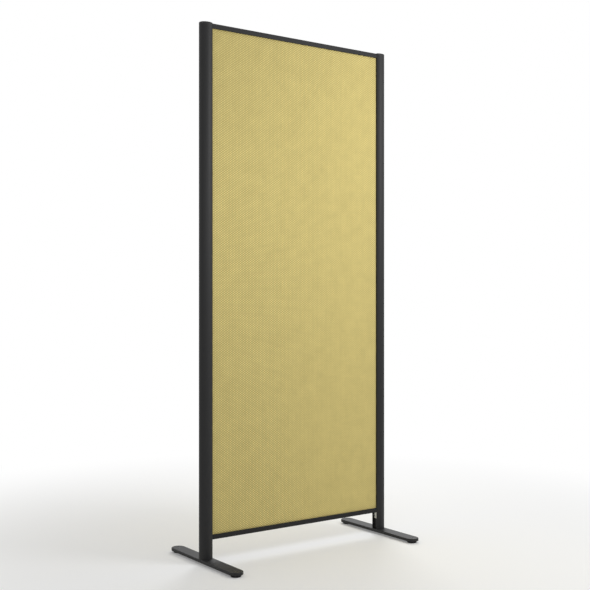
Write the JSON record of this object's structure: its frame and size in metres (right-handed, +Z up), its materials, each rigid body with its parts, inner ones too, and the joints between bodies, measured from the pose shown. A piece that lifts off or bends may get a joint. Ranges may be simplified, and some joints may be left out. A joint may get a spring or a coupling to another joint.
{
  "type": "acoustic divider screen",
  "caption": "Tall free-standing acoustic floor screen: flat fabric panel between dark round-fronted posts and thin rails, on flat foot bars with levelling glides.",
  "frame": {"origin": "on the floor, under the middle of the screen", "axes": "+X along the screen from its left post to its right post, front of the screen towards -Y, +Z up"},
  "size_m": [0.8, 0.42, 1.8],
  "materials": {
    "post_coating": "satin",
    "rail_coating": "satin",
    "cap_plastic": "matte",
    "plate_steel": "satin",
    "screw_steel": "satin",
    "panel_timber": "matte",
    "core_wool": "matte",
    "panel_cloth": "matte",
    "gasket_rubber": "matte",
    "foot_coating": "satin",
    "glide_steel": "satin",
    "glide_plastic": "matte"
  },
  "bodies": {
    "frame": {"left_post": "post_coating", "right_post": "post_coating", "left_top_cap": "cap_plastic", "right_top_cap": "cap_plastic", "left_tie_plate": "plate_steel", "right_tie_plate": "plate_steel", "tie_plate_screws": "screw_steel", "top_rail": "rail_coating", "top_rail_screws": "screw_steel", "bottom_rail": "rail_coating", "bottom_rail_screws": "screw_steel", "left_corner_bracket": "plate_steel", "right_corner_bracket": "plate_steel", "bracket_screws": "screw_steel", "panel_left_stile": "panel_timber", "panel_right_stile": "panel_timber", "panel_top_batten": "panel_timber", "panel_bottom_batten": "panel_timber", "acoustic_core": "core_wool", "front_fabric": "panel_cloth", "rear_fabric": "panel_cloth", "left_edge_gasket": "gasket_rubber", "right_edge_gasket": "gasket_rubber", "top_edge_gasket": "gasket_rubber", "bottom_edge_gasket": "gasket_rubber", "left_foot": "foot_coating", "right_foot": "foot_coating", "foot_screws": "screw_steel"},
    "front_left_glide": {"front_left_glide_stud": "glide_steel", "front_left_glide_pad": "glide_plastic"},
    "front_right_glide": {"front_right_glide_stud": "glide_steel", "front_right_glide_pad": "glide_plastic"},
    "rear_left_glide": {"rear_left_glide_stud": "glide_steel", "rear_left_glide_pad": "glide_plastic"},
    "rear_right_glide": {"rear_right_glide_stud": "glide_steel", "rear_right_glide_pad": "glide_plastic"}
  },
  "joints": [
    {"name": "front_left_glide_travel", "type": "slide", "parent": "frame", "child": "front_left_glide", "axis": [0, 0, -1], "range_m": [0, 0.005]},
    {"name": "front_right_glide_travel", "type": "slide", "parent": "frame", "child": "front_right_glide", "axis": [0, 0, -1], "range_m": [0, 0.005]},
    {"name": "rear_left_glide_travel", "type": "slide", "parent": "frame", "child": "rear_left_glide", "axis": [0, 0, -1], "range_m": [0, 0.005]},
    {"name": "rear_right_glide_travel", "type": "slide", "parent": "frame", "child": "rear_right_glide", "axis": [0, 0, -1], "range_m": [0, 0.005]}
  ]
}
